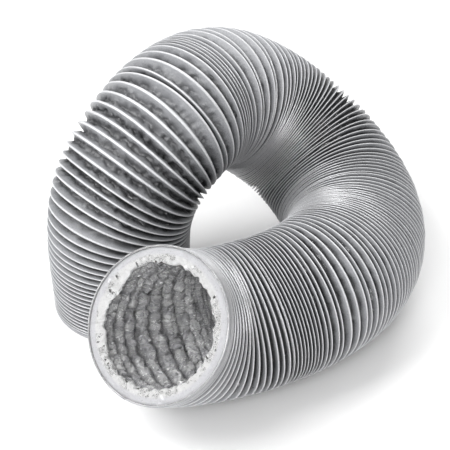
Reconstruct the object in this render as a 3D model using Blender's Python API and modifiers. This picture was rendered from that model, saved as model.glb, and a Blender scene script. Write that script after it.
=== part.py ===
"""Flexible duct hose for a 100 mm spigot, standing and lying in one loop.

A steel wire helix is held between a grey outer sleeve and a foil liner, and the
foil is rolled over a ring at each mouth. The hose is divided into short
stretches along its route, so that it can be opened out of the loop stretch by
stretch. Metres, +Z up, the surface that the hose rests on at Z = 0.
"""

import math

import bmesh
import bpy
import numpy as np
from mathutils import Matrix, Vector

# Cross-section
CREST_RADIUS = 0.053  # outside of the sleeve over the wire
SLEEVE_WALL = 0.0004
SLEEVE_CLEARANCE = 0.0011  # sleeve to wire, so that a flat facet stays clear of the round wire
WIRE_DIAMETER = 0.0010
LINER_CLEARANCE = 0.0005  # wire to liner
LINER_WALL = 0.0004

# Rolled foil ring at each mouth
RING_LENGTH = 0.005
RING_WIDTH = 0.0105  # from its outside to its bore
RING_EDGE = 0.0012

# Centreline between the two foil rings, from the near one to the far one, which stands on the floor.
LYING = CREST_RADIUS + 0.0004  # height where the hose lies on the floor
ROUTE = (
    (-0.0520, -0.1105, 0.083),
    (-0.022, -0.084, 0.058),
    (0.022, -0.064, LYING),
    (0.064, -0.035, LYING),
    (0.087, 0.009, LYING),
    (0.082, 0.060, 0.061),
    (0.053, 0.095, 0.084),
    (0.014, 0.102, 0.114),
    (-0.021, 0.077, 0.137),
    (-0.052, 0.039, 0.134),
    (-0.079, 0.016, 0.100),
    (-0.0875, 0.013, 0.050),
    (-0.0875, 0.013, RING_LENGTH),
)
NEAR_HEADING = (0.44, 0.59, -0.67)  # into the hose at the near mouth
FAR_HEADING = (0.0, 0.0, -1.0)  # out of the hose at the far mouth

# Along the route
STRETCHES = 12
END_LENGTH = 0.018  # each end turns' own stretch, with its rolled foil ring
FACE_GAP = 0.0004  # between two stretches, and between a ring and its sleeve
HINGE_TURNS = {9: math.radians(20.0)}  # round the hose, so that the far leg opens clear of the near mouth

# Wire turns
TURNS = 3  # in each stretch
END_TURNS = 1
WIRE_INSET = 0.005  # from a stretch's face to the wire's end

# Facets
SIDES = 16
BAYS = 3  # rings of faces along a stretch
RING_STEPS = 32
SAMPLES = 1200  # points along the route, from which places are read

SLEEVE_INNER = CREST_RADIUS - SLEEVE_WALL
WIRE_RADIUS = SLEEVE_INNER - SLEEVE_CLEARANCE - WIRE_DIAMETER / 2
LINER_OUTER = WIRE_RADIUS - WIRE_DIAMETER / 2 - LINER_CLEARANCE

SLEEVE_GREY = ((0.36, 0.37, 0.39, 1.0), 0.55, 0.0)
FOIL = ((0.88, 0.89, 0.90, 1.0), 0.28, 1.0)
STEEL = ((0.45, 0.45, 0.46, 1.0), 0.35, 1.0)


def spline_bends(points, start_heading, end_heading):
    """Second derivatives of the cubic spline through the points, with its headings at both ends."""
    count = len(points)
    rows = np.zeros((count, count))
    right = np.zeros_like(points)
    first, last = points[1] - points[0], points[-1] - points[-2]
    rows[0, :2] = (2.0, 1.0)
    right[0] = 6.0 * (first - start_heading * np.linalg.norm(first))
    for i in range(1, count - 1):
        rows[i, i - 1 : i + 2] = (1.0, 4.0, 1.0)
        right[i] = 6.0 * (points[i + 1] - 2.0 * points[i] + points[i - 1])
    rows[-1, -2:] = (1.0, 2.0)
    right[-1] = 6.0 * (end_heading * np.linalg.norm(last) - last)
    return np.linalg.solve(rows, right)


def spline_points(points, bends, t):
    """Points of the spline at the parameters t, from 0 to the last point's index."""
    i = np.clip(t.astype(int), 0, len(points) - 2)
    b = (t - i)[:, None]
    a = 1.0 - b
    straight = a * points[i] + b * points[i + 1]
    curved = ((a**3 - a) * bends[i] + (b**3 - b) * bends[i + 1]) / 6.0
    return straight + curved


class Route:
    """The centreline by length, with a frame that turns as little as it can."""

    def __init__(self, points, start_heading, end_heading):
        points = np.array(points, float)
        headings = [np.array(h) / np.linalg.norm(h) for h in (start_heading, end_heading)]
        t = np.linspace(0.0, len(points) - 1, SAMPLES)
        curved = spline_points(points, spline_bends(points, *headings), t)
        start = points[0] - headings[0] * RING_LENGTH
        end = points[-1] + headings[1] * RING_LENGTH
        self.places = np.vstack([start, curved, end])
        steps = np.linalg.norm(np.diff(self.places, axis=0), axis=1)
        self.lengths = np.concatenate([[0.0], np.cumsum(steps)])
        self.length = self.lengths[-1]
        tangents = np.gradient(self.places, self.lengths, axis=0)
        tangents[:2], tangents[-2:] = headings
        self.tangents = tangents / np.linalg.norm(tangents, axis=1)[:, None]
        self.sides = self._least_turning_sides()

    def _least_turning_sides(self):
        side = np.cross(self.tangents[0], (0.0, 0.0, 1.0))
        sides = []
        for tangent in self.tangents:
            side = side - tangent * (side @ tangent)
            side = side / np.linalg.norm(side)
            sides.append(side)
        return np.array(sides)

    def frame(self, s):
        """(place, side, up, tangent) at length s."""
        place, side, tangent = (
            np.array([np.interp(s, self.lengths, rows[:, k]) for k in range(3)])
            for rows in (self.places, self.sides, self.tangents)
        )
        tangent = tangent / np.linalg.norm(tangent)
        side = side - tangent * (side @ tangent)
        side = side / np.linalg.norm(side)
        return place, side, np.cross(tangent, side), tangent

    def outward(self, s, turn=0.0):
        """The direction away from the centre of the bend at length s, turned round the hose."""
        reach = self.length / STRETCHES / 2
        before = self.frame(max(s - reach, 0.0))
        after = self.frame(min(s + reach, self.length))
        tangent = self.frame(s)[3]
        away = before[3] - after[3]
        away = away - tangent * (away @ tangent)
        away = away / np.linalg.norm(away)
        return away * math.cos(turn) + np.cross(tangent, away) * math.sin(turn)


def material(name, finish):
    colour, roughness, metallic = finish
    made = bpy.data.materials.new(name)
    made.use_nodes = True
    shader = made.node_tree.nodes["Principled BSDF"]
    shader.inputs["Base Color"].default_value = colour
    shader.inputs["Roughness"].default_value = roughness
    shader.inputs["Metallic"].default_value = metallic
    made.diffuse_color = colour
    return made


def add(name, data, finish, collection):
    obj = bpy.data.objects.new(name, data)
    data.materials.append(material(name, finish))
    collection.objects.link(obj)
    return obj


def skin(name, route, start, end, radius, wall, bays, finish, collection):
    """A tube shell round the route from start to end: a grid wrapped round it, then given its wall."""
    grid = bmesh.new()
    bmesh.ops.create_grid(grid, x_segments=bays, y_segments=SIDES, size=0.5)
    for vert in grid.verts:
        share, turn = vert.co.x + 0.5, (vert.co.y + 0.5) * math.tau
        place, side, up, tangent = route.frame(start + share * (end - start))
        inset = FACE_GAP / 2 * (1.0 - 2.0 * share)
        round_it = side * math.cos(turn) + up * math.sin(turn)
        vert.co = Vector(place + round_it * radius + tangent * inset)
    bmesh.ops.remove_doubles(grid, verts=grid.verts, dist=1e-6)
    bmesh.ops.recalc_face_normals(grid, faces=grid.faces)
    middle = route.frame((start + end) / 2)[0]
    face = grid.faces[:][0]
    if face.normal.dot(face.calc_center_median() - Vector(middle)) < 0:
        bmesh.ops.reverse_faces(grid, faces=grid.faces)
    mesh = bpy.data.meshes.new(name)
    grid.to_mesh(mesh)
    grid.free()
    mesh.shade_smooth()
    obj = add(name, mesh, finish, collection)
    shell = obj.modifiers.new("wall", "SOLIDIFY")
    shell.thickness = wall
    shell.offset = -1.0
    return obj


def wire(name, route, start, end, turns, collection):
    """A helix of round wire about the route, with a point over each corner of the skins."""
    curve = bpy.data.curves.new(name, "CURVE")
    curve.dimensions = "3D"
    curve.bevel_depth = WIRE_DIAMETER / 2
    curve.bevel_resolution = 0
    curve.use_fill_caps = True
    count = turns * SIDES + 1
    spline = curve.splines.new("POLY")
    spline.points.add(count - 1)
    inset = min(WIRE_INSET, (end - start) / 4)
    for i, point in enumerate(spline.points):
        share = i / (count - 1)
        place, side, up, _ = route.frame(start + inset + share * (end - start - 2 * inset))
        turn = math.tau * i / SIDES
        spot = place + (side * math.cos(turn) + up * math.sin(turn)) * WIRE_RADIUS
        point.co = (*spot, 1.0)
    return add(name, curve, STEEL, collection)


def foil_ring(name, place, outward, collection):
    """The rolled foil ring at a mouth, turned about Z and then set with its face outward."""
    bore, edge = CREST_RADIUS - RING_WIDTH, RING_EDGE
    profile = (
        (CREST_RADIUS, 0.0),
        (CREST_RADIUS, -RING_LENGTH),
        (bore + edge, -RING_LENGTH),
        (bore, -RING_LENGTH + edge),
        (bore, -edge),
        (bore + edge, 0.0),
    )
    mesh = bpy.data.meshes.new(name)
    edges = [(i, (i + 1) % len(profile)) for i in range(len(profile))]
    mesh.from_pydata([(x, 0.0, z) for x, z in profile], edges, [])
    obj = add(name, mesh, FOIL, collection)
    turned = obj.modifiers.new("turned", "SCREW")
    turned.steps = turned.render_steps = RING_STEPS
    turned.use_smooth_shade = False
    obj.rotation_mode = "QUATERNION"
    obj.rotation_quaternion = Vector(outward).to_track_quat("Z", "Y")
    obj.location = Vector(place)
    return obj


def pivot(name, route, s, turn, collection):
    """An empty at the outermost crest of the bend, its Z along the hinge's axis."""
    place, _, _, tangent = route.frame(s)
    away = route.outward(s, turn)
    empty = bpy.data.objects.new(name, None)
    empty.empty_display_size = CREST_RADIUS / 4
    axis = np.cross(tangent, away)
    spot = place + away * CREST_RADIUS
    columns = [Vector(v).to_4d() for v in (tangent, away, axis, spot)]
    for column in columns[:3]:
        column.w = 0.0
    empty.matrix_world = Matrix(columns).transposed()
    collection.objects.link(empty)
    return empty


def hang(objects, parent):
    """Parents the objects to an empty and leaves them where they are."""
    bpy.context.view_layer.update()
    for obj in objects:
        obj.parent = parent
        obj.matrix_parent_inverse = parent.matrix_world.inverted()


def stretch(tag, route, start, end, turns, bays, collection):
    """One stretch of hose: its sleeve, its foil liner and its turns of wire."""
    return [
        skin(f"sleeve_{tag}", route, start, end, CREST_RADIUS, SLEEVE_WALL, bays,
             SLEEVE_GREY, collection),
        wire(f"wire_helix_{tag}", route, start, end, turns, collection),
        skin(f"foil_liner_{tag}", route, start, end, LINER_OUTER, LINER_WALL, bays,
             FOIL, collection),
    ]


def main():
    for obj in list(bpy.data.objects):
        bpy.data.objects.remove(obj)
    collection = bpy.data.collections.new("flexible_duct_hose")
    bpy.context.scene.collection.children.link(collection)
    route = Route(ROUTE, NEAR_HEADING, FAR_HEADING)
    ring_end = RING_LENGTH + FACE_GAP / 2
    cuts = np.linspace(END_LENGTH, route.length - END_LENGTH, STRETCHES + 1)

    for i, (start, end) in enumerate(zip(cuts[:-1], cuts[1:])):
        made = stretch(f"{i + 1:02d}", route, start, end, TURNS, BAYS, collection)
        turn = HINGE_TURNS.get(i, 0.0)
        hang(made, pivot(f"pivot_{i + 1:02d}", route, start, turn, collection))

    ends = (
        ("near", 0.0, -1.0, ring_end, END_LENGTH),
        ("far", route.length, 1.0, route.length - END_LENGTH, route.length - ring_end),
    )
    for side, mouth, facing, start, end in ends:
        place, _, _, tangent = route.frame(mouth)
        ring = foil_ring(f"{side}_foil_ring", place, tangent * facing, collection)
        made = stretch(f"{side}_end", route, start, end, END_TURNS, 1, collection)
        cut = route.length - END_LENGTH if facing > 0 else END_LENGTH
        hang([ring, *made], pivot(f"pivot_{side}_end", route, cut, 0.0, collection))


main()
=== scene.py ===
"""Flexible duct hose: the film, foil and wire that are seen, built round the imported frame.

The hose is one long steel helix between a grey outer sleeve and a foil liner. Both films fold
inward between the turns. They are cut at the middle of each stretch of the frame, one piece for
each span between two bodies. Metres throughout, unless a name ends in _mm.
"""

import logging
import math
from dataclasses import dataclass, field, replace
from enum import Enum

import bpy
import numpy as np
from mathutils import Matrix, Vector

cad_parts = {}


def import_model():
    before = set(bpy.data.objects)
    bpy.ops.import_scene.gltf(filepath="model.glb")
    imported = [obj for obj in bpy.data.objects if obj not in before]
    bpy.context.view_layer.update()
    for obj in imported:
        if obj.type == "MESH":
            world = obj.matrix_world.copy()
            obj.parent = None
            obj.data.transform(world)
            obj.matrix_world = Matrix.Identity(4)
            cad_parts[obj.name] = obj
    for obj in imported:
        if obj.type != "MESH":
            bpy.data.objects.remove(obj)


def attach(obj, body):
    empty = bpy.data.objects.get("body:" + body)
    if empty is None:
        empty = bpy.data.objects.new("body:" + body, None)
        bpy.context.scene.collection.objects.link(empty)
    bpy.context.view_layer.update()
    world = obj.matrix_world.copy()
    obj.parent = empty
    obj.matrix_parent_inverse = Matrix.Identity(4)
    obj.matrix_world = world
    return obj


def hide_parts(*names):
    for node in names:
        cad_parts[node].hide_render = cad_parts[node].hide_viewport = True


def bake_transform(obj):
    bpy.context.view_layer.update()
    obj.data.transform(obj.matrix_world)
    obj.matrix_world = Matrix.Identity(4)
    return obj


LOG = logging.getLogger("duct_hose")
MM = 0.001
TINY = 1e-9  # keeps a whole number from rounding down
STRETCHES = 12

# The centreline between the two foil rings, as the frame has it
LYING = 0.0534
ROUTE = (
    (-0.0520, -0.1105, 0.083),
    (-0.022, -0.084, 0.058),
    (0.022, -0.064, LYING),
    (0.064, -0.035, LYING),
    (0.087, 0.009, LYING),
    (0.082, 0.060, 0.061),
    (0.053, 0.095, 0.084),
    (0.014, 0.102, 0.114),
    (-0.021, 0.077, 0.137),
    (-0.052, 0.039, 0.134),
    (-0.079, 0.016, 0.100),
    (-0.0875, 0.013, 0.050),
    (-0.0875, 0.013, 0.005),
)
NEAR_HEADING = (0.44, 0.59, -0.67)
FAR_HEADING = (0.0, 0.0, -1.0)
RING_LENGTH = 0.005
END_LENGTH = 0.018
CREST_RADIUS = 0.053


class Mouth(Enum):
    """The two open ends of the hose."""

    NEAR = "near"
    FAR = "far"


class Centreline:
    """The hose's centreline by length, with a frame that turns as little as it can."""

    SAMPLES = 1600

    def __init__(self) -> None:
        """Runs a clamped cubic spline through the route and adds the straight end at each mouth."""
        points = np.array(ROUTE, float)
        headings = [np.array(h) / np.linalg.norm(h) for h in (NEAR_HEADING, FAR_HEADING)]
        curved = self._spline(points, *headings)
        start = points[0] - headings[0] * RING_LENGTH
        end = points[-1] + headings[1] * RING_LENGTH
        self.places = np.vstack([start, curved, end])
        steps = np.linalg.norm(np.diff(self.places, axis=0), axis=1)
        self.lengths = np.concatenate([[0.0], np.cumsum(steps)])
        self.length = float(self.lengths[-1])
        tangents = np.gradient(self.places, self.lengths, axis=0)
        tangents[:2], tangents[-2:] = headings
        self.tangents = tangents / np.linalg.norm(tangents, axis=1)[:, None]
        self.sides = self._least_turning_sides()
        self.ups = np.cross(self.tangents, self.sides)
        self.bends = np.gradient(self.tangents, self.lengths, axis=0)

    def _spline(self, points: np.ndarray, first: np.ndarray, last: np.ndarray) -> np.ndarray:
        """Points of the cubic spline that leaves and arrives along the two headings.

        Args:
            points: The route's own points, one a row.
            first: Unit heading at the first point.
            last: Unit heading at the last point.

        Returns:
            Places along the spline, one a row.
        """
        count = len(points)
        rows, right = np.zeros((count, count)), np.zeros_like(points)
        begin, finish = points[1] - points[0], points[-1] - points[-2]
        rows[0, :2], rows[-1, -2:] = (2.0, 1.0), (1.0, 2.0)
        right[0] = 6.0 * (begin - first * np.linalg.norm(begin))
        right[-1] = 6.0 * (last * np.linalg.norm(finish) - finish)
        for i in range(1, count - 1):
            rows[i, i - 1 : i + 2] = (1.0, 4.0, 1.0)
            right[i] = 6.0 * (points[i + 1] - 2.0 * points[i] + points[i - 1])
        second = np.linalg.solve(rows, right)
        t = np.linspace(0.0, count - 1, self.SAMPLES)
        i = np.clip(t.astype(int), 0, count - 2)
        b = (t - i)[:, None]
        a = 1.0 - b
        bend = ((a**3 - a) * second[i] + (b**3 - b) * second[i + 1]) / 6.0
        return a * points[i] + b * points[i + 1] + bend

    def _least_turning_sides(self) -> np.ndarray:
        """Carries one side direction along the line, squared to the tangent at each step."""
        side = np.cross(self.tangents[0], (0.0, 0.0, 1.0))
        sides = []
        for tangent in self.tangents:
            side = side - tangent * (side @ tangent)
            side = side / np.linalg.norm(side)
            sides.append(side)
        return np.array(sides)

    def read(self, rows: np.ndarray, s: np.ndarray) -> np.ndarray:
        """Reads one of the line's vector rows at the lengths s.

        Args:
            rows: places, tangents, sides, ups or bends.
            s: Lengths along the hose, of any shape.

        Returns:
            An array of s's shape with a last axis of three.
        """
        return np.stack([np.interp(s, self.lengths, rows[:, k]) for k in range(3)], -1)


class Ripple:
    """Repeatable noise on one or two coordinates, from minus one to one."""

    def __init__(self, seed: int, rounded: bool = True) -> None:
        """Draws the lattice of values.

        Args:
            seed: Seed of the lattice.
            rounded: Smooth between lattice points, or flat facets between them.
        """
        self.values = np.random.default_rng(seed).uniform(-1.0, 1.0, (251, 239))
        self.rounded = rounded

    def __call__(self, x: np.ndarray, y: np.ndarray | float = 0.0) -> np.ndarray:
        """Reads the noise: lattice values mixed by the place between four neighbours.

        Args:
            x: First coordinate, one lattice step a unit.
            y: Second coordinate.

        Returns:
            The noise at each place.
        """
        x, y = np.broadcast_arrays(np.asarray(x, float), np.asarray(y, float))
        i, j = np.floor(x).astype(int), np.floor(y).astype(int)
        a, b = x - i, y - j
        if self.rounded:
            a, b = a * a * (3 - 2 * a), b * b * (3 - 2 * b)
        rows, columns = self.values.shape
        v = [
            [self.values[(i + p) % rows, (j + q) % columns] for q in (0, 1)] for p in (0, 1)
        ]
        low = v[0][0] * (1 - b) + v[0][1] * b
        high = v[1][0] * (1 - b) + v[1][1] * b
        return low * (1 - a) + high * a


def smooth_step(x: np.ndarray, low: float, high: float) -> np.ndarray:
    """Rises smoothly from 0 at low to 1 at high."""
    t = np.clip((x - low) / (high - low), 0.0, 1.0)
    return t * t * (3.0 - 2.0 * t)


@dataclass(frozen=True)
class Lean:
    """A place where the rings of wire lean along the hose, by their edge's shift at the crest."""

    place: float
    reach: float
    sideways: float
    toward: float

    def share(self, s: np.ndarray) -> np.ndarray:
        """How much of the lean is felt at length s: 1 at its place and 0 past its reach."""
        return smooth_step(self.reach - np.abs(s - self.place), 0.0, self.reach)


@dataclass
class Winding:
    """Where the turns of wire lie along the hose.

    A turn coordinate u counts turns from the near mouth. The wire is a flat ring for the first
    and the last turn, and a helix between them.
    """

    line: Centreline
    pitches_mm: tuple[tuple[float, float], ...] = (
        (0, 1.7), (4, 2.0), (8, 3.6), (14, 6.4), (22, 7.4), (56, 7.0), (68, 4.4), (80, 4.0),
        (94, 2.5), (106, 2.6),
        (114, 3.4), (132, 4.7), (146, 3.6), (170, 2.8), (186, 2.5), (200, 3.2),
        (214, 4.4), (262, 5.2), (290, 4.5), (312, 3.6), (338, 3.9), (362, 5.6),
        (398, 5.8), (417, 6.6), (420, 2.1), (430, 2.1), (433, 6.6), (476, 6.0),
        (494, 6.6), (512, 5.0), (530, 5.0), (545, 3.8), (595, 3.8), (604, 2.4), (610, 1.8),
    )  # fmt: skip
    pinches_mm: tuple[tuple[float, float], ...] = (
        (124.5, 2.1), (141.0, 2.4), (151.0, 2.4), (221.0, 3.2), (287.0, 3.2),
        (389.5, 2.2), (405.5, 2.2), (452.5, 1.9), (360.0, 3.6),
    )  # fmt: skip
    facing: tuple[float, float, float] = (0.0, -0.79, 0.62)
    leans: tuple[Lean, ...] = (
        Lean(0.045, 0.045, 0.006, -0.006),
        Lean(0.085, 0.035, 0.004, 0.003),
        Lean(0.160, 0.050, -0.002, 0.0035),
        Lean(0.250, 0.040, -0.002, -0.004),
        Lean(0.280, 0.060, -0.007, 0.001),
        Lean(0.370, 0.040, 0.0, -0.0045),
        Lean(0.408, 0.030, 0.003, 0.0),
        Lean(0.470, 0.035, -0.003, -0.003),
        Lean(0.518, 0.050, -0.006, -0.008),
    )
    first: float = 0.0012
    wobble: float = 0.13
    start_angle: float = math.pi / 2
    pinch_width: float = 0.2
    seed: int = 11
    turns: int = field(init=False)

    def __post_init__(self) -> None:
        """Counts the turns and tables the wire's place by turn."""
        places = np.linspace(self.first, self.line.length - self.first, 6000)
        spots, pitches = np.array(self.pitches_mm).T * MM
        pitch = np.interp(places, spots, pitches)
        counted = np.concatenate([[0.0], np.cumsum(np.diff(places) / pitch[1:])])
        self.turns = int(round(counted[-1]))
        self._counted, self._places = counted * (self.turns / counted[-1]), places
        self._noise = Ripple(self.seed)
        self._pinches: list[tuple[float, float]] = []
        self._pinches = self._pinch_turns()

    def _plain(self, u: np.ndarray) -> np.ndarray:
        """The wire's place before it wobbles."""
        return np.interp(np.clip(u - 1.0, 0.0, self.turns), self._counted, self._places)

    def _pinch_turns(self) -> list[tuple[float, float]]:
        """The turn coordinate on the facing side of each pinched pair, with each turn's shift."""
        found = []
        for place, spacing in self.pinches_mm:
            s = place * MM
            u = float(np.interp(s, self._places, self._counted)) + 1.0
            side, up = self.line.read(self.line.sides, s), self.line.read(self.line.ups, s)
            angle = math.atan2(np.dot(self.facing, up), np.dot(self.facing, side))
            share = ((angle - self.start_angle) / math.tau) % 1.0
            turn = np.array([0.0, 1.0]) + round(u - share - 0.5) + share
            found.append((turn[0], float(np.diff(self.place(turn))[0] - spacing * MM) / 2))
        return found

    def place(self, u: np.ndarray) -> np.ndarray:
        """Length along the hose at the turn coordinate u, with the wire's wobble and pinches.

        Args:
            u: Turn coordinate, from 0 to turns + 2.

        Returns:
            The length at which the wire lies.
        """
        base = self._plain(u)
        pitch = self._plain(u + 0.5) - self._plain(u - 0.5)
        inner = smooth_step(u, 2.0, 4.0) * smooth_step(-u, -self.turns, 2.0 - self.turns)
        moved = base + inner * pitch * self.wobble * self._noise(u * 2.3)
        for centre, shift in self._pinches:
            moved = moved + shift * np.exp(-(((u - centre) / self.pinch_width) ** 2))
            moved = moved - shift * np.exp(-(((u - centre - 1.0) / self.pinch_width) ** 2))
        return moved

    def leaned(self, s: np.ndarray, outward: np.ndarray) -> np.ndarray:
        """Shift along the hose where a ring of wire leans against the square section.

        Each lean tips the ring's sideways edge and the edge on the facing side along the hose.
        The shift is the outward direction's share of each, summed over the leans.

        Args:
            s: Length of the ring along the hose.
            outward: Outward direction of each point, unit vectors.

        Returns:
            The shift to add to s.
        """
        sideways = sum(lean.sideways * lean.share(s) for lean in self.leans)
        toward = sum(lean.toward * lean.share(s) for lean in self.leans)
        tangent = self.line.read(self.line.tangents, s)
        face = np.array(self.facing) - tangent * (tangent @ np.array(self.facing))[..., None]
        face = face / np.maximum(np.linalg.norm(face, axis=-1, keepdims=True), 0.2)
        across = np.cross(tangent, face)
        return sideways * (outward * across).sum(-1) + toward * (outward * face).sum(-1)

    def turn_at(self, s: float) -> float:
        """The turn coordinate whose place is s."""
        return float(np.interp(s, self._places, self._counted)) + 1.0


@dataclass(frozen=True)
class FilmSection:
    """The section of film between two turns of wire, from one crest to the next.

    The film's slope rises fast round the wire, stays steep down the flank and falls to nothing
    at the fold. Its depth and its place across the gap are the running sums of the slope's sine
    and cosine, so that the curve has no corner.
    """

    crest_share: float = 0.09
    fold_share: float = 0.13
    flank_slope: float = math.radians(76)

    def shares(self, across: np.ndarray) -> tuple[np.ndarray, np.ndarray]:
        """Place across the gap and depth, both from 0 to 1, along the film.

        Args:
            across: Place along the film, 0 and 1 at the crests and 0.5 at the fold.

        Returns:
            The share of the gap and the share of the depth.
        """
        fine = np.linspace(0.0, 1.0, 400)
        slope = self.flank_slope * smooth_step(fine, 0.0, self.crest_share)
        slope *= smooth_step(1.0 - fine, 0.0, self.fold_share)
        run = np.concatenate([[0.0], np.cumsum(np.cos(slope[1:]))])
        drop = np.concatenate([[0.0], np.cumsum(np.sin(slope[1:]))])
        half = 1.0 - np.abs(2.0 * across - 1.0)
        gap = np.interp(half, fine, run / run[-1]) / 2.0
        return np.where(across > 0.5, 1.0 - gap, gap), np.interp(half, fine, drop / drop[-1])


@dataclass
class HoseForm:
    """The hose's film as a surface of two coordinates: a turn coordinate and an angle.

    Row psi of the surface is a helical line: it lies at turn psi + angle / tau, so whole psi
    are crests over the wire and the rows between them are the fold.
    """

    line: Centreline
    winding: Winding
    section: FilmSection = FilmSection()
    tight_depth: float = 0.0042
    open_depth: float = 0.0064
    tight_gap: float = 0.0025
    open_gap: float = 0.0065
    mouth_depth: float = 0.0006
    mouth_reach: tuple[float, float] = (0.0018, 0.006)
    ridge_wander: float = 0.00022
    sleeve_crumple: float = 0.0031
    drift: float = 0.09
    knots: float = 50.0
    pleat: float = 2.2

    def __post_init__(self) -> None:
        """Draws the noises."""
        self._wander = Ripple(3)
        self._crumple = [Ripple(seed) for seed in (21, 22, 23)]
        self._soft = Ripple(5)

    def angles(self, theta: np.ndarray, s: np.ndarray) -> np.ndarray:
        """Outward directions at angle theta round the hose at length s."""
        turned = theta + self.winding.start_angle
        side, up = self.line.read(self.line.sides, s), self.line.read(self.line.ups, s)
        return side * np.cos(turned)[..., None] + up * np.sin(turned)[..., None]

    def film(
        self, psi: np.ndarray, theta: np.ndarray, crumple: float, evenly: float
    ) -> dict[str, np.ndarray]:
        """Places of the film, with the coordinates that its finish reads.

        The film lies between the crests at turns k and k + 1, k being psi's whole part. Its
        length along the hose is a share of the gap between them, and its radius is the crest's
        less a share of the fold's depth. Crumpling moves it both ways, most at the fold.

        Args:
            psi: Turn coordinate of each row, as a column.
            theta: Angle of each column, as a row.
            crumple: Height of the crumpling.
            evenly: How much of the crumpling reaches the flanks, from 0 to 1.

        Returns:
            points, and the shares fold (depth), along (turns along the ribbon) and across.
        """
        psi, theta = np.broadcast_arrays(psi, theta)
        turn = np.floor(psi + TINY)
        across = np.clip(psi - turn, 0.0, 1.0)
        along = turn + theta / math.tau
        before, after = self.crest_place(along, theta), self.crest_place(along + 1.0, theta)
        drift = self.drift * self._soft(along * 5.0, 9.0) * np.sin(math.pi * across)
        share, drop = self.section.shares(across)
        s = before + (after - before) * (share + drift * drop)
        outward = self.angles(theta, s)
        spread = 1.0 - CREST_RADIUS * (outward * self.line.read(self.line.bends, s)).sum(-1)
        gap = (after - before) * spread
        depth = self.depth(gap, after - before, s)
        open_share = smooth_step(gap, self.tight_gap, self.open_gap)
        fold = np.exp(-(((across - 0.5) / 0.2) ** 2))
        flank = np.sin(math.pi * across) ** 2
        reach = crumple * (0.15 + 0.85 * open_share) * (fold * (1 - evenly) + flank * evenly)
        reach = reach * smooth_step(depth, 0.001, 0.004)
        x, y = along * self.knots, across * self.pleat
        sharp, sideways = self.crumple(x, y), self.crumple(x * 0.8 + 57.0, y * 1.3)
        soft = self._soft(along * 17.0, across * 2.0) * open_share * flank
        wander = self.ridge_wander * self._wander(along * 2.7) * (1.0 - across)
        wander = wander + self.ridge_wander * self._wander((along + 1.0) * 2.7) * across
        radius = CREST_RADIUS - self.ridge_wander + wander - depth * drop
        radius = radius - reach * 0.8 * sharp - crumple * 0.5 * soft
        s = s + reach * 0.75 * sideways / np.maximum(spread, 0.25)
        points = self.line.read(self.line.places, s) + self.angles(theta, s) * radius[..., None]
        # Mask for the painted shade in the folds: the depth under the crest over the gap's width.
        painted_shade_mask = np.clip(depth * drop / np.maximum(gap, 0.001) / 1.6, 0.0, 1.0)
        return {
            "points": points, "fold": drop, "along": along, "across": across,
            "painted_shade_mask": painted_shade_mask, "open": open_share,
        }  # fmt: skip

    def crest_place(self, u: np.ndarray, theta: np.ndarray) -> np.ndarray:
        """Length along the hose of the crest at turn u and angle theta, its lean included."""
        s = self.winding.place(u)
        return s + self.winding.leaned(s, self.angles(theta, s))

    def crumple(self, x: np.ndarray, y: np.ndarray) -> np.ndarray:
        """Crumpled film: dimples between sharp ridges, which lie where three noises cross zero.

        Args:
            x: First coordinate, one knot a unit.
            y: Second coordinate.

        Returns:
            Height, from about -1 to 1.
        """
        first = 1.0 - 2.4 * np.abs(self._crumple[0](x, y))
        second = 1.0 - 2.4 * np.abs(self._crumple[1](1.3 * x + 1.1 * y, 1.5 * y - 0.9 * x))
        third = 1.0 - 2.4 * np.abs(self._crumple[2](2.1 * x - 1.7 * y, 2.4 * y + 1.3 * x))
        return 0.5 * first + 0.35 * second + 0.25 * third

    def depth(self, gap: np.ndarray, pitch: np.ndarray, s: np.ndarray) -> np.ndarray:
        """Depth of the fold for the gap between two crests, shallow beside the foil rings."""
        depth = self.tight_depth + (self.open_depth - self.tight_depth) * smooth_step(
            gap, self.tight_gap, self.open_gap
        )
        from_mouth = np.minimum(s, self.line.length - s)
        share = smooth_step(from_mouth, *self.mouth_reach)
        depth = self.mouth_depth + (depth - self.mouth_depth) * share
        return depth * smooth_step(pitch, 0.0, 0.0012)


@dataclass(frozen=True)
class Span:
    """One visible length of the hose, between two bodies that a joint joins."""

    number: int
    bodies: tuple[str, str]
    turns: tuple[int, int]
    nodes: tuple[str, ...]

    @property
    def tag(self) -> str:
        """The span's number in two digits."""
        return f"{self.number:02d}"


def spans(line: Centreline, winding: Winding) -> list[Span]:
    """Cuts the hose at the middle of each stretch of the frame.

    Args:
        line: The centreline.
        winding: Where the turns lie.

    Returns:
        The spans, from the near mouth to the far one.
    """
    cuts = np.linspace(END_LENGTH, line.length - END_LENGTH, STRETCHES + 1)
    middles = (cuts[:-1] + cuts[1:]) / 2
    seams = [0, *(round(winding.turn_at(s) - 0.5) for s in middles), winding.turns + 1]
    bodies = ["near_end", *(f"stretch_{i + 1:02d}" for i in range(STRETCHES)), "far_end"]
    nodes = ["near_end", *(f"{i + 1:02d}" for i in range(STRETCHES)), "far_end"]
    made = []
    for i in range(STRETCHES + 1):
        stood = (nodes[i],) if i < STRETCHES else tuple(nodes[i:])
        made.append(Span(i, (bodies[i], bodies[i + 1]), (seams[i], seams[i + 1]), stood))
    return made


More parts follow.
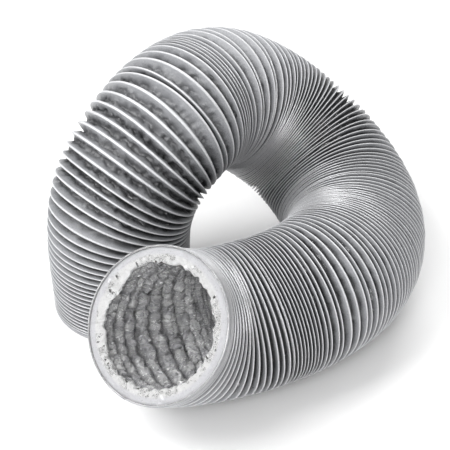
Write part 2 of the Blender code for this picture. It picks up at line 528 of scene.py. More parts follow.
class HelixGrid:
    """Faces of a helical strip: a column's last row joins the first column one turn on."""

    def __init__(self, rows: int, columns: int, per_turn: int) -> None:
        """Numbers the vertices and the cells.

        Args:
            rows: Cells along the strip, a whole number of turns.
            columns: Cells round the hose.
            per_turn: Cells along the hose in one turn.
        """
        self.rows, self.columns, self.per_turn = rows, columns, per_turn
        body = (rows + 1) * columns
        index = np.empty((rows + 1, columns + 1), int)
        index[:, :columns] = np.arange(body).reshape(rows + 1, columns)
        index[: rows + 1 - per_turn, columns] = index[per_turn:, 0]
        index[rows + 1 - per_turn :, columns] = body + np.arange(per_turn)
        self.index, self.count = index, body + per_turn

    def gather(self, values: np.ndarray) -> np.ndarray:
        """One row for each vertex, from values on the whole (rows + 1, columns + 1) grid."""
        body = values[:, : self.columns].reshape(self.count - self.per_turn, *values.shape[2:])
        return np.concatenate([body, values[self.rows + 1 - self.per_turn :, self.columns]])

    def cells(self) -> np.ndarray:
        """The quads, turned so that they face away from the hose."""
        i = self.index
        return np.stack([i[:-1, :-1], i[:-1, 1:], i[1:, 1:], i[1:, :-1]], -1).reshape(-1, 4)

    def edges(self) -> tuple[np.ndarray, np.ndarray]:
        """The vertex loops at the start and at the end, each with its step of one turn."""
        i, m = self.index, self.per_turn
        start = np.concatenate([i[0, :-1], i[m:0:-1, 0]])
        end = np.concatenate([i[-1, :-1], i[: -m - 1 : -1, -1]])
        return start, end


def mesh_from(
    name: str, points: np.ndarray, faces: np.ndarray, smooth: bool = True
) -> bpy.types.Object:
    """Makes a mesh object at the origin from whole arrays.

    Args:
        name: Name of the piece.
        points: One vertex a row.
        faces: One face a row, of three or four corners.
        smooth: Shade smooth.

    Returns:
        The linked object.
    """
    mesh = bpy.data.meshes.new(name)
    corners = faces.shape[1]
    mesh.vertices.add(len(points))
    mesh.vertices.foreach_set("co", points.astype(np.float32).ravel())
    mesh.loops.add(faces.size)
    mesh.loops.foreach_set("vertex_index", faces.astype(np.int32).ravel())
    mesh.polygons.add(len(faces))
    mesh.polygons.foreach_set("loop_start", np.arange(0, faces.size, corners, dtype=np.int32))
    mesh.polygons.foreach_set("use_smooth", np.full(len(faces), smooth))
    mesh.update(calc_edges=True)
    mesh.validate()
    obj = bpy.data.objects.new(name, mesh)
    bpy.context.scene.collection.objects.link(obj)
    return obj


def store(obj: bpy.types.Object, name: str, values: np.ndarray) -> None:
    """Keeps one number a vertex on the mesh, for the finish to read."""
    attribute = obj.data.attributes.new(name, "FLOAT", "POINT")
    attribute.data.foreach_set("value", values.astype(np.float32))


def store_uv(obj: bpy.types.Object, corners: np.ndarray) -> None:
    """Keeps the film's own coordinates as its UV map, one row for each face corner."""
    layer = obj.data.uv_layers.new(name="film")
    layer.data.foreach_set("uv", corners.astype(np.float32).ravel())


def grid_normals(points: np.ndarray) -> np.ndarray:
    """Unit normals of a padded grid of points, from the differences across it.

    Args:
        points: Places on a grid with one spare row and column on each side.

    Returns:
        Normals on the grid without its spare rows and columns.
    """
    down = points[2:, 1:-1] - points[:-2, 1:-1]
    round_it = points[1:-1, 2:] - points[1:-1, :-2]
    normals = np.cross(round_it, down)
    return normals / np.maximum(np.linalg.norm(normals, axis=-1, keepdims=True), 1e-12)


@dataclass
class FilmTube:
    """A film that lines the hose: the outer sleeve or the foil liner, built span by span."""

    form: HoseForm
    name: str
    slot: str
    finish: "Finish"
    columns: int
    open_columns: int
    half_rows: tuple[float, ...]
    open_half_rows: tuple[float, ...]
    wall: float
    inset: float
    open_inset: float
    crest_inset: float
    crumple: float
    evenly: float
    node_prefix: str
    open_spans: tuple[int, ...]

    def rows_of(self, span: Span) -> tuple[np.ndarray, int, int]:
        """Turn coordinates of a span's rows, with one spare row at each end.

        Args:
            span: The span.

        Returns:
            The rows, the rows in a turn and the columns.
        """
        wide = span.number in self.open_spans
        half = np.array(self.open_half_rows if wide else self.half_rows)
        shares = np.concatenate([half / 2, (1.0 - half[::-1] / 2)[1:-1]])
        first, last = self.seam(span.turns[0]), self.seam(span.turns[1])
        every = np.arange(math.floor(first) - 1, math.ceil(last) + 2)[:, None] + shares
        every = every.ravel()
        begin = int(np.argmin(np.abs(every - first)))
        end = int(np.argmin(np.abs(every - last)))
        columns = self.open_columns if wide else self.columns
        return every[begin - 1 : end + 2], len(shares), columns

    def seam(self, turn: int) -> float:
        """A seam's place: in the fold of its turn, or on the end crest at a mouth."""
        return float(turn) if turn in (0, self.form.winding.turns + 1) else turn + 0.5

    def build(self, span: Span) -> bpy.types.Object:
        """Builds one span of film as a closed shell.

        The outer wall is the hose's surface set in by inset, and more over the wire by
        crest_inset. The inner wall is that surface moved along its normal by the wall.

        Args:
            span: The span.

        Returns:
            The piece.
        """
        rows, per_turn, columns = self.rows_of(span)
        theta = (np.arange(-1, columns + 2) / columns) * math.tau
        film = self.form.film(rows[:, None], theta[None, :], self.crumple, self.evenly)
        normals = grid_normals(film["points"])
        inner = {key: value[1:-1, 1:-1] for key, value in film.items()}
        near_crest = 1.0 - np.abs(2.0 * inner["across"] - 1.0)
        over_wire = 1.0 - smooth_step(near_crest, 0.05, 0.22)
        loose = inner["open"] * np.sin(math.pi * inner["across"]) ** 2
        inset = self.inset + self.open_inset * loose + self.crest_inset * over_wire
        outer_wall = inner["points"] - normals * inset[..., None]
        inner_wall = outer_wall - normals * self.wall
        grid = HelixGrid(len(rows) - 3, columns, per_turn)
        outer, back = grid.gather(outer_wall), grid.gather(inner_wall)
        cells = grid.cells()
        faces = [cells, cells[:, ::-1] + grid.count]
        for loop, flip in zip(grid.edges(), (False, True)):
            after = np.roll(loop, -1)
            rim = np.stack([after, loop, loop + grid.count, after + grid.count], -1)
            faces.append(rim[:, ::-1] if flip else rim)
        obj = mesh_from(f"{self.name}_{span.tag}", np.vstack([outer, back]), np.vstack(faces))
        self._coordinates(obj, grid, inner, faces)
        obj.data.materials.append(self.finish.material())
        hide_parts(*(f"{self.node_prefix}_{n}" for n in span.nodes))
        return obj

    def _coordinates(
        self,
        obj: bpy.types.Object,
        grid: HelixGrid,
        film: dict[str, np.ndarray],
        faces: list[np.ndarray],
    ) -> None:
        """Stores the fold's depth, the mask for the painted shade in the folds, and the film's own
        map in metres.
        """
        for name in ("fold", "painted_shade_mask"):
            values = grid.gather(film[name])
            store(obj, name, np.concatenate([values, values]))
        turn = (film["along"] - film["along"][:, :1])[:-1]
        ribbon = np.floor(film["along"][:-1, :1] + TINY)
        u = (ribbon + turn) * math.tau * CREST_RADIUS
        left, right = u[:, :-1], u[:, 1:]
        low = film["across"][:-1, :-1]
        high = film["across"][1:, :-1]
        high = np.where(high < low, 1.0, high)
        width = 2.0 * self.form.open_depth
        corner = [(left, low), (right, low), (right, high), (left, high)]
        cells = np.stack([np.stack([a, b * width], -1) for a, b in corner], 2).reshape(-1, 4, 2)
        spare = np.zeros((sum(len(f) for f in faces[2:]), 4, 2))
        store_uv(obj, np.concatenate([cells, cells[:, ::-1], spare]))


@dataclass
class SpringWire:
    """The steel wire between the two films, one round tube along the helix, span by span."""

    form: HoseForm
    finish: "Finish"
    diameter: float = 0.0009
    film_wall: float = 0.00012
    per_turn: int = 48
    sides: int = 6

    def build(self, span: Span) -> bpy.types.Object:
        """Sweeps a circle along the wire's own line, with a flat cap at each end.

        Args:
            span: The span.

        Returns:
            The piece.
        """
        winding, line = self.form.winding, self.form.line
        first, last = span.turns
        if first > 0:
            first += 1
        last += 1
        u = np.linspace(first, last, (last - first) * self.per_turn + 1)
        theta = (u % 1.0) * math.tau
        s = self.form.crest_place(u, theta)
        wander = self.form.ridge_wander * self.form._wander(u * 2.7) - self.form.ridge_wander
        radius = CREST_RADIUS - self.film_wall - self.diameter / 2 - 5e-5 + wander
        outward = self.form.angles(theta, s)
        places = line.read(line.places, s) + outward * radius[:, None]
        along = np.gradient(places, axis=0)
        along /= np.linalg.norm(along, axis=1)[:, None]
        across = np.cross(along, outward)
        across /= np.linalg.norm(across, axis=1)[:, None]
        turn = np.arange(self.sides) / self.sides * math.tau
        cosine, sine = np.cos(turn)[None, :, None], np.sin(turn)[None, :, None]
        ring = outward[:, None] * cosine + across[:, None] * sine
        points = (places[:, None] + ring * self.diameter / 2).reshape(-1, 3)
        points = np.vstack([points, places[:1], places[-1:]])
        index = np.arange(len(u) * self.sides).reshape(len(u), self.sides)
        nearby = np.roll(index, -1, axis=1)
        quads = np.stack([index[:-1], index[1:], nearby[1:], nearby[:-1]], -1).reshape(-1, 4)
        centre = len(points) - 2
        caps = [np.stack([index[0], nearby[0], np.full(self.sides, centre)], -1)]
        caps.append(np.stack([nearby[-1], index[-1], np.full(self.sides, centre + 1)], -1))
        triangles = np.vstack([quads[:, [0, 1, 2]], quads[:, [0, 2, 3]], *caps])[:, ::-1]
        obj = mesh_from(f"coil_{span.tag}", points, triangles)
        obj.data.materials.append(self.finish.material())
        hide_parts(*(f"wire_helix_{n}" for n in span.nodes))
        return obj


@dataclass
class RolledMouth:
    """The foil liner's end, gathered and rolled back over the first turn at a mouth.

    Its section is a flat rounded loop. Puckers run across it, finest at the inner lip, and the
    lip wanders in and out.
    """

    line: Centreline
    mouth: Mouth
    finish: "Finish"
    bore: float = 0.0412
    outside: float = 0.0517
    thickness: float = 0.0046
    set_back: float = 0.0012
    columns: int = 560
    rows: int = 44
    squareness: float = 0.62
    pucker: float = 0.0007
    flap_angle: float | None = None
    flap_reach: float = 0.0048
    flap_width: float = 0.52
    seed: int = 31

    def build(self) -> bpy.types.Object:
        """Builds the ring.

        Round the section, the radius and the length follow a superellipse: the signed power of
        the cosine and of the sine. The inner half is pushed about by the puckers, the lip's
        wander and the flap.

        Returns:
            The piece.
        """
        theta = np.arange(self.columns) / self.columns * math.tau
        phi = np.arange(self.rows) / self.rows * math.tau
        angle, section = np.meshgrid(theta, phi, indexing="ij")
        c, s = np.cos(section), np.sin(section)
        power = self.squareness
        half_width = (self.outside - self.bore) / 2
        radial = (self.outside + self.bore) / 2 + half_width * np.sign(c) * np.abs(c) ** power
        depth = self.thickness / 2 * (1.0 + np.sign(s) * np.abs(s) ** power)
        inner = smooth_step(self.outside - radial, 0.0016, 2 * half_width)
        radial, depth = self._gather(angle, radial, depth, inner)
        at = self.set_back + depth
        s_place = at if self.mouth is Mouth.NEAR else self.line.length - at
        side = self.line.read(self.line.sides, s_place)
        up = self.line.read(self.line.ups, s_place)
        outward = side * np.cos(angle)[..., None] + up * np.sin(angle)[..., None]
        points = self.line.read(self.line.places, s_place) + outward * radial[..., None]
        index = np.arange(points[..., 0].size).reshape(self.columns, self.rows)
        a, b = index, np.roll(index, -1, axis=0)
        past_a, past_b = np.roll(a, -1, axis=1), np.roll(b, -1, axis=1)
        faces = np.stack([a, b, past_b, past_a], -1).reshape(-1, 4)
        if self.mouth is Mouth.FAR:
            faces = faces[:, ::-1]
        obj = mesh_from(f"rolled_foil_{self.mouth.value}", points.reshape(-1, 3), faces)
        store(obj, "lip", inner.ravel())
        obj.data.materials.append(self.finish.material())
        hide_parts(f"{self.mouth.value}_foil_ring")
        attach(obj, f"{self.mouth.value}_end")
        return obj

    def _gather(
        self, angle: np.ndarray, radial: np.ndarray, depth: np.ndarray, inner: np.ndarray
    ) -> tuple[np.ndarray, np.ndarray]:
        """Puckers, creases, wandering lip and flap of the gathered foil.

        Args:
            angle: Angle round the mouth.
            radial: Radius of each point.
            depth: Depth behind the ring's face.
            inner: 0 on the outer edge, 1 at the lip.

        Returns:
            The moved radius and depth.
        """
        fine, coarse = Ripple(self.seed), Ripple(self.seed + 1)
        facet = Ripple(self.seed + 2, rounded=False)
        turn = angle / math.tau
        round_trip = turn * 64.0
        slant = inner * 5.0 * coarse(turn * 7.0 % 7, 3.0)
        ridge = 1.0 - 2.6 * np.abs(fine((round_trip * 1.4 + slant) % 90, inner * 1.6))
        pucker = ridge + 0.9 * facet((round_trip * 2.0 - slant) % 128, inner * 4.0)
        broad = coarse(turn * 18.0 % 18, inner * 0.7)
        lip = 0.5 * coarse(turn * 31.0 % 31, 50.0) + 1.0 * facet(turn * 97.0 % 97, 90.0)
        face = 1.0 - depth / self.thickness
        moved = depth - smooth_step(inner, 0.1, 0.6) * (self.pucker * pucker + 0.0004 * broad)
        wandered = radial + inner**2 * 0.0012 * lip
        if self.flap_angle is not None:
            away = (angle - self.flap_angle + math.pi) % math.tau - math.pi
            hump = smooth_step(-np.abs(away), -self.flap_width, -0.35 * self.flap_width)
            hump = hump * smooth_step(inner, 0.45, 1.0)
            ragged = 1.0 + 0.15 * facet(turn * 44.0 % 44, 12.0) + 0.5 * away
            wandered = wandered - self.flap_reach * hump * ragged * face
            slit = np.exp(-(((inner - 0.55 - 0.9 * (away - 0.1)) / 0.09) ** 2))
            slit = slit * smooth_step(-np.abs(away - 0.12), -0.34, -0.2)
            moved = moved - 0.0006 * hump + 0.0016 * slit * face
        return wandered, np.maximum(moved, -0.0009)


class Finish:
    """A finish that is made into a material once and shared by the pieces that have it."""

    label = "finish"
    _made: bpy.types.Material | None = None

    def material(self) -> bpy.types.Material:
        """The material, made on the first call."""
        if self._made is None:
            self._made = bpy.data.materials.new(self.label)
            self._made.use_nodes = True
            tree = self._made.node_tree
            self.dress(tree, tree.nodes["Principled BSDF"])
        return self._made

    def dress(self, tree: bpy.types.NodeTree, shader: bpy.types.Node) -> None:
        """Sets the shader and its nodes; each finish has its own."""
        raise NotImplementedError


def node(tree: bpy.types.NodeTree, kind: str, **settings: object) -> bpy.types.Node:
    """Adds a node, with its properties, the values of its inputs and the links into them.

    Args:
        tree: The node tree.
        kind: The node's type, without the leading ShaderNode.
        settings: Properties by name, or inputs by name with spaces as underscores. An input
            is also named by its number after "at", and a socket as its value is linked to it.

    Returns:
        The node.
    """
    made = tree.nodes.new(f"ShaderNode{kind}")
    for key, value in settings.items():
        if hasattr(made, key):
            setattr(made, key, value)
            continue
        at = int(key[2:]) if key[2:].isdigit() else key.replace("_", " ")
        feed(tree, made.inputs[at], value)
    return made


def feed(tree: bpy.types.NodeTree, socket: bpy.types.NodeSocket, value: object) -> None:
    """Links an output to a socket, or sets the socket's own value."""
    if isinstance(value, bpy.types.NodeSocket):
        tree.links.new(value, socket)
    else:
        socket.default_value = value


def mixed(
    tree: bpy.types.NodeTree, share: object, low: object, high: object, blend: str = "MIX"
) -> bpy.types.NodeSocket:
    """The colour between low and high by a share; each may be a value or a socket."""
    made = node(tree, "Mix", data_type="RGBA", blend_type=blend, Factor=share)
    for name, colour in (("A", low), ("B", high)):
        feed(tree, next(s for s in made.inputs if s.name == name and s.type == "RGBA"), colour)
    return next(s for s in made.outputs if s.type == "RGBA")


def creases_on(
    tree: bpy.types.NodeTree, place: bpy.types.NodeSocket, fineness: float, bend: float
) -> bpy.types.Node:
    """Adds the crease group to a material, on its coordinates and at its own scale."""
    made = tree.nodes.new("ShaderNodeGroup")
    made.node_tree = crease_group()
    for name, value in (("Map", place), ("Fineness", fineness), ("Bend", bend)):
        feed(tree, made.inputs[name], value)
    return made


def crease_group() -> bpy.types.NodeTree:
    """The group that both films use: fine creases and a slow cloudiness, on the film's own map.

    Creases are the narrow valleys between the cells of a stretched cell pattern, bent by noise.

    Returns:
        The node group, with inputs Map, Fineness and Bend, and outputs Crease, Cloud and Facet.
    """
    made = bpy.data.node_groups.get("film_creases")
    if made:
        return made
    group = bpy.data.node_groups.new("film_creases", "ShaderNodeTree")
    face = group.interface
    face.new_socket("Map", in_out="INPUT", socket_type="NodeSocketVector")
    for name in ("Fineness", "Bend"):
        face.new_socket(name, in_out="INPUT", socket_type="NodeSocketFloat")
    for name in ("Crease", "Cloud", "Facet"):
        face.new_socket(name, in_out="OUTPUT", socket_type="NodeSocketFloat")
    into, out = group.nodes.new("NodeGroupInput").outputs, group.nodes.new("NodeGroupOutput")
    place = node(group, "VectorMath", operation="SCALE", at0=into["Map"], Scale=into["Fineness"])
    noise = node(group, "TexNoise", Vector=place.outputs[0], Detail=3.0, Roughness=0.6)
    centred = node(
        group, "VectorMath", operation="SUBTRACT", at0=noise.outputs["Color"], at1=(0.5, 0.5, 0.5)
    )
    bent = node(
        group, "VectorMath", operation="SCALE", at0=centred.outputs[0], Scale=into["Bend"]
    )
    moved = node(
        group, "VectorMath", operation="ADD", at0=place.outputs[0], at1=bent.outputs[0]
    ).outputs[0]
    cells = node(group, "TexVoronoi", feature="DISTANCE_TO_EDGE", Scale=1.0, Vector=moved)
    facets = node(group, "TexVoronoi", feature="F1", Scale=1.0, Vector=moved)
    edge = node(group, "MapRange", Value=cells.outputs["Distance"], From_Max=0.4)
    slow = node(group, "MapRange", Value=noise.outputs["Fac"], From_Min=0.3, From_Max=0.7)
    parts = node(group, "SeparateColor", at0=facets.outputs["Color"])
    for name, socket in (
        ("Crease", edge.outputs["Result"]),
        ("Cloud", slow.outputs["Result"]),
        ("Facet", parts.outputs[0]),
    ):
        group.links.new(socket, out.inputs[name])
    return group


@dataclass
class PvcFilm(Finish):
    """Matte grey PVC film, finely creased in the folds. It is paler where it is drawn over the
    wire, with a painted highlight on the crests, and painted shade darkens the deep, narrow folds.
    """

    label: str = "grey_pvc_film"
    flank: tuple[float, float, float] = (0.32, 0.325, 0.34)
    # Crest colour: the film is paler where it is drawn over the wire, with a painted highlight as
    # well.
    crest: tuple[float, float, float] = (0.66, 0.665, 0.68)
    # How dark the painted shade makes the film where a fold is fully shut.
    shade: float = 0.13
    roughness: float = 0.30
    fineness: float = 260.0
    bend: float = 1.2

    def dress(self, tree: bpy.types.NodeTree, shader: bpy.types.Node) -> None:
        """Colour by the fold's depth, paler with a painted highlight at the crests and with painted
        shade where the fold is deep and narrow, a slow cloud, and a bump of creases and grain.
        """
        place = node(tree, "UVMap", uv_map="film").outputs["UV"]
        creases = creases_on(tree, place, self.fineness, self.bend)
        cloud = creases.outputs["Cloud"]
        fold = node(tree, "Attribute", attribute_name="fold").outputs["Fac"]
        # Crest mask by the fold's depth: paler film over the wire plus a painted highlight.
        crest = node(tree, "MapRange", Value=fold, From_Max=0.09, To_Min=1.0, To_Max=0.0)
        colour = mixed(
            tree, crest.outputs["Result"], (*self.flank, 1.0), (*self.crest, 1.0)
        )
        # Painted shade: the colour is darkened where the fold is deep and narrow, as if shadowed.
        painted_shade_mask = node(tree, "Attribute", attribute_name="painted_shade_mask").outputs["Fac"]
        dim = node(tree, "MapRange", interpolation_type="SMOOTHSTEP", Value=painted_shade_mask)
        limits = {"From Min": 0.03, "From Max": 0.52, "To Min": 1.0, "To Max": self.shade}
        for name, value in limits.items():
            dim.inputs[name].default_value = value
        shade = node(tree, "MapRange", Value=cloud, To_Min=0.86, To_Max=1.08)
        both = node(tree, "Math", operation="MULTIPLY", at0=shade.outputs["Result"])
        tree.links.new(dim.outputs["Result"], both.inputs[1])
        clouded = mixed(tree, 1.0, colour, both.outputs["Value"], "MULTIPLY")
        low, high = self.roughness - 0.08, self.roughness + 0.14
        rough = node(tree, "MapRange", Value=cloud, To_Min=low, To_Max=high)
        grain = node(tree, "TexNoise", Vector=place, Scale=2600.0, Detail=2.0).outputs["Fac"]
        crease = creases.outputs["Crease"]
        height = node(tree, "Math", operation="MULTIPLY_ADD", at0=grain, at1=0.18, at2=crease)
        bump = node(tree, "Bump", Strength=0.5, Distance=0.0004, Height=height.outputs["Value"])
        shader.inputs["Specular IOR Level"].default_value = 0.7
        tree.links.new(clouded, shader.inputs["Base Color"])
        tree.links.new(rough.outputs["Result"], shader.inputs["Roughness"])
        tree.links.new(bump.outputs["Normal"], shader.inputs["Normal"])


@dataclass
class FoilLaminate(Finish):
    """Bright aluminium laminate, crinkled all over, with painted light and shade on its facets."""

    label: str = "bright_foil"
    colour: tuple[float, float, float] = (1.0, 1.0, 1.0)
    roughness: float = 0.2
    metallic: float = 0.58
    fineness: float = 270.0
    bump: float = 0.0022
    bend: float = 1.6
    on_map: bool = True
    # Colour of the facets that the painted shade darkens most.
    painted_facet_shade: tuple[float, float, float] = (0.66, 0.66, 0.68)

    def tint(
        self, tree: bpy.types.NodeTree, shader: bpy.types.Node, creases: bpy.types.Node
    ) -> None:
        """Painted light and shade: every small facet of the crinkle gets its own brightness, as it
        would when turned to the light.
        """
        facet = creases.outputs["Facet"]
        lit = node(tree, "MapRange", Value=facet, From_Min=0.1, From_Max=0.75)
        colour = mixed(tree, lit.outputs["Result"], (*self.painted_facet_shade, 1.0), (*self.colour, 1.0))
        tree.links.new(colour, shader.inputs["Base Color"])

    def dress(self, tree: bpy.types.NodeTree, shader: bpy.types.Node) -> None:
        """Metal with creases as bump, on the film's map or on the piece's own coordinates."""
        if self.on_map:
            place = node(tree, "UVMap", uv_map="film").outputs["UV"]
        else:
            place = node(tree, "TexCoord").outputs["Object"]
        creases = creases_on(tree, place, self.fineness, self.bend)
        cloud, crease = creases.outputs["Cloud"], creases.outputs["Crease"]
        low, high = self.roughness - 0.07, self.roughness + 0.12
        rough = node(tree, "MapRange", Value=cloud, To_Min=low, To_Max=high)
        bump = node(tree, "Bump", Strength=0.8, Distance=self.bump, Height=crease)
        shader.inputs["Metallic"].default_value = self.metallic
        tree.links.new(rough.outputs["Result"], shader.inputs["Roughness"])
        tree.links.new(bump.outputs["Normal"], shader.inputs["Normal"])
        self.tint(tree, shader, creases)


@dataclass
class GatheredFoil(FoilLaminate):
    """Foil gathered into a rolled end: a satin outer edge, a bright lip, small dark tears and
    painted shade along its creases.
    """

    label: str = "gathered_foil"
    edge: tuple[float, float, float] = (0.86, 0.86, 0.89)
    # Dark colour of the tears, also painted along the creases as shade.
    tear_and_crease_shade: tuple[float, float, float] = (0.05, 0.045, 0.045)

    def tint(
        self, tree: bpy.types.NodeTree, shader: bpy.types.Node, creases: bpy.types.Node
    ) -> None:
        """Colour that runs from the edge to the lip, with dark tears and painted shade in the deep
        creases, in patches.
        """
        crease = creases.outputs["Crease"]
        place = node(tree, "TexCoord").outputs["Object"]
        lip = node(tree, "Attribute", attribute_name="lip").outputs["Fac"]
        spots = node(tree, "TexNoise", Vector=place, Scale=300.0, Detail=3.0).outputs["Fac"]
        patches = node(tree, "TexNoise", Vector=place, Scale=95.0).outputs["Fac"]
        # line is painted shade along the bottom of each crease; spot is the small tears.
        line, spot, patch, inside = (
            node(
                tree, "MapRange", Value=value, From_Min=low, From_Max=high, To_Min=first, To_Max=end
            ).outputs["Result"]
            for value, low, high, first, end in (
                (crease, 0.02, 0.17, 0.9, 0.0),
                (spots, 0.6, 0.65, 0.0, 1.0),
                (patches, 0.47, 0.51, 0.0, 1.0),
                (lip, 0.2, 0.45, 0.0, 1.0),
            )
        )
        torn_and_crease_shade = node(tree, "Math", operation="MAXIMUM", at0=spot, at1=line)
        for where in (patch, inside):
            torn_and_crease_shade = node(
                tree, "Math", operation="MULTIPLY", at0=torn_and_crease_shade.outputs["Value"], at1=where
            )
        pale = mixed(tree, inside, (*self.edge, 1.0), (*self.colour, 1.0))
        colour = mixed(tree, torn_and_crease_shade.outputs["Value"], pale, (*self.tear_and_crease_shade, 1.0))
        tree.links.new(colour, shader.inputs["Base Color"])


@dataclass
class SpringSteel(Finish):
    """Bright drawn steel wire, with faint draw marks."""

    label: str = "drawn_steel"
    colour: tuple[float, float, float] = (0.45, 0.45, 0.46)
    roughness: float = 0.35

    def dress(self, tree: bpy.types.NodeTree, shader: bpy.types.Node) -> None:
        """Metal whose roughness is clouded by noise."""
        shader.inputs["Base Color"].default_value = (*self.colour, 1.0)
        shader.inputs["Metallic"].default_value = 1.0
        place = node(tree, "TexCoord").outputs["Object"]
        noise = node(tree, "TexNoise", Vector=place, Scale=900.0, Detail=2.0).outputs["Fac"]
        rough = node(
            tree, "MapRange", Value=noise, To_Min=self.roughness - 0.1, To_Max=self.roughness + 0.1
        )
        tree.links.new(rough.outputs["Result"], shader.inputs["Roughness"])


@dataclass
class PaleFloor(Finish):
    """Plain pale studio floor."""

    label: str = "pale_floor"
    colour: tuple[float, float, float] = (0.93, 0.93, 0.93)

    def dress(self, tree: bpy.types.NodeTree, shader: bpy.types.Node) -> None:
        """Matte white."""
        shader.inputs["Base Color"].default_value = (*self.colour, 1.0)
        shader.inputs["Roughness"].default_value = 0.9
        shader.inputs["Specular IOR Level"].default_value = 0.1


@dataclass
class Studio:
    """Floor, soft light and camera."""

    aim: tuple[float, float, float] = (-0.0080, -0.0147, 0.0898)
    distance: float = 0.85
    elevation: float = math.radians(38.17)
    roll: float = math.radians(-1.19)
    lens: float = 95.9
    floor_side: float = 12.0
    floor_drop: float = 0.0002

    def camera(self) -> None:
        """Looks along +Y and down, at the middle of the hose."""
        back = Vector((0.0, -math.cos(self.elevation), math.sin(self.elevation)))
        data = bpy.data.cameras.new("camera")
        data.lens, data.sensor_width = self.lens, 36.0
        data.clip_start, data.clip_end = 0.01, 100.0
        obj = bpy.data.objects.new("camera", data)
        turned = back.to_track_quat("Z", "Y").to_matrix() @ Matrix.Rotation(self.roll, 3, "Z")
        place = Matrix.Translation(Vector(self.aim) + back * self.distance)
        obj.matrix_world = place @ turned.to_4x4()
        bpy.context.scene.collection.objects.link(obj)
        bpy.context.scene.camera = obj

    def floor(self) -> None:
        """A flat square under the hose."""
        h = self.floor_side / 2
        corners = np.array([(-h, -h, 0.0), (h, -h, 0.0), (h, h, 0.0), (-h, h, 0.0)])
        corners = corners - (0.0, 0.0, self.floor_drop)
        obj = mesh_from("floor", corners, np.array([[0, 1, 2, 3]]), smooth=False)
        obj.data.materials.append(PaleFloor().material())

    def light(
        self, name: str, place: tuple[float, float, float], size: float, power: float
    ) -> None:
        """One square soft light aimed at the hose.

        Args:
            name: Name of the light.
            place: Where it stands.
            size: Side of the square.
            power: Watts.
        """
        data = bpy.data.lights.new(name, "AREA")
        data.shape, data.size, data.energy = "SQUARE", size, power
        obj = bpy.data.objects.new(name, data)
        obj.location = place
        away = Vector(place) - Vector(self.aim)
        obj.rotation_euler = away.to_track_quat("Z", "Y").to_euler()
        bpy.context.scene.collection.objects.link(obj)

    def surround(self) -> None:
        """A surround that is dim near the horizon and bright overhead, so that foil glints."""
        world = bpy.data.worlds.new("surround")
        world.use_nodes = True
        tree = world.node_tree
        place = node(tree, "TexCoord").outputs["Generated"]
        height = node(tree, "SeparateXYZ", Vector=place).outputs["Z"]
        ramp = node(
            tree, "MapRange", Value=height, From_Min=0.05, From_Max=0.8, To_Min=0.12, To_Max=0.75
        )
        tree.links.new(ramp.outputs["Result"], tree.nodes["Background"].inputs["Strength"])
        tree.nodes["Background"].inputs["Color"].default_value = (1.0, 1.0, 1.0, 1.0)
        bpy.context.scene.world = world

    def set_up(self) -> None:
        """Builds the floor, the lights, the surround and the camera."""
        self.floor()
        self.light("key", (-0.9, -0.3, 1.35), 0.8, 18.0)
        self.light("front", (-0.3, -1.4, 1.2), 0.7, 16.0)
        self.light("back", (0.4, 1.2, 1.3), 1.0, 14.0)
        self.surround()
        bpy.context.scene.view_settings.view_transform = "Standard"
        self.camera()


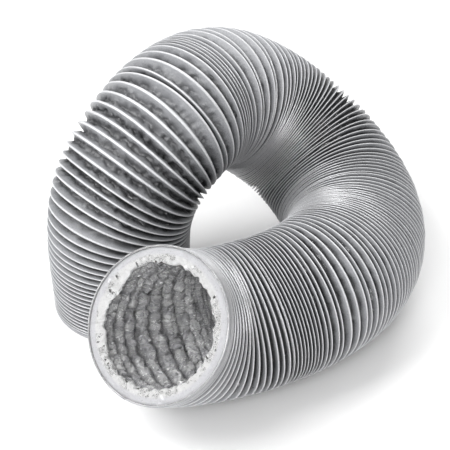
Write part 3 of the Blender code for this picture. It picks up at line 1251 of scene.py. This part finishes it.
@dataclass
class DuctHose:
    """The whole hose: sleeve, liner and wire span by span, and a rolled foil end at each mouth."""

    line: Centreline
    winding: Winding
    form: HoseForm
    held: float = 0.001

    def edge_of(self, turn: float) -> np.ndarray:
        """The line round the film at which two spans meet, one place a row."""
        theta = np.linspace(0.0, math.tau, 49)
        return self.form.film(np.array([[turn]]), theta[None, :], 0.0, 0.0)["points"][0]

    def blend(self, obj: bpy.types.Object, span: Span) -> None:
        """Bakes a piece's transform into its mesh; the edges where the span meets its neighbours
        are found but not used.

        Args:
            obj: The piece.
            span: Its span.
        """
        ends = [float(t) if t in (0, self.winding.turns + 1) else t + 0.5 for t in span.turns]
        before, after = (self.edge_of(t) for t in ends)
        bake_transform(obj)

    def build(self) -> None:
        """Builds every span and both mouths."""
        sleeve = FilmTube(
            form=self.form, name="outer_film", slot="sleeve_film", finish=PvcFilm(),
            columns=144, open_columns=288, half_rows=(0.0, 0.07, 0.16, 0.55, 0.88, 1.0),
            open_half_rows=(0.0, 0.05, 0.11, 0.2, 0.4, 0.6, 0.76, 0.88, 1.0), wall=0.00012,
            inset=0.0, open_inset=0.0, crest_inset=0.0, crumple=self.form.sleeve_crumple,
            evenly=0.34, node_prefix="sleeve", open_spans=(8, 9, 10),
        )  # fmt: skip
        liner = FilmTube(
            form=self.form, name="inner_foil", slot="foil", finish=FoilLaminate(),
            columns=72, open_columns=288, half_rows=(0.0, 0.16, 0.55, 1.0),
            open_half_rows=(0.0, 0.1, 0.22, 0.4, 0.58, 0.74, 0.88, 1.0), wall=0.00008,
            inset=0.00035, open_inset=0.0042, crest_inset=0.00095, crumple=0.0,
            evenly=0.6, node_prefix="foil_liner", open_spans=(),
        )  # fmt: skip
        mouth_form = replace(self.form, knots=62.0, pleat=3.6)
        crinkled = replace(
            liner, form=mouth_form, crumple=0.0027, open_inset=0.0033, open_spans=(0, 1)
        )
        smoother = replace(sleeve, crumple=0.0011)
        wire = SpringWire(form=self.form, finish=SpringSteel())
        for span in spans(self.line, self.winding):
            films = (smoother, crinkled) if span.number in crinkled.open_spans else (sleeve, liner)
            for part in (*films, wire):
                piece = part.build(span)
                self.blend(piece, span)
                LOG.info("%s: %d faces", piece.name, len(piece.data.polygons))
        ring_foil = GatheredFoil(
            roughness=0.3, metallic=0.1, fineness=210.0, bump=0.0024, on_map=False
        )
        for mouth, flap in ((Mouth.NEAR, math.radians(190)), (Mouth.FAR, None)):
            ring = RolledMouth(line=self.line, mouth=mouth, finish=ring_foil, flap_angle=flap)
            LOG.info("%s", ring.build().name)


def main() -> None:
    """Builds the hose round the frame, then the studio."""
    logging.basicConfig(level=logging.INFO, format="%(message)s")
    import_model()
    bpy.context.view_layer.update()
    line = Centreline()
    winding = Winding(line)
    LOG.info("%d turns on %.1f mm", winding.turns, line.length / MM)
    DuctHose(line, winding, HoseForm(line, winding)).build()
    Studio().set_up()
    bpy.context.view_layer.update()


if __name__ == "__main__":
    main()
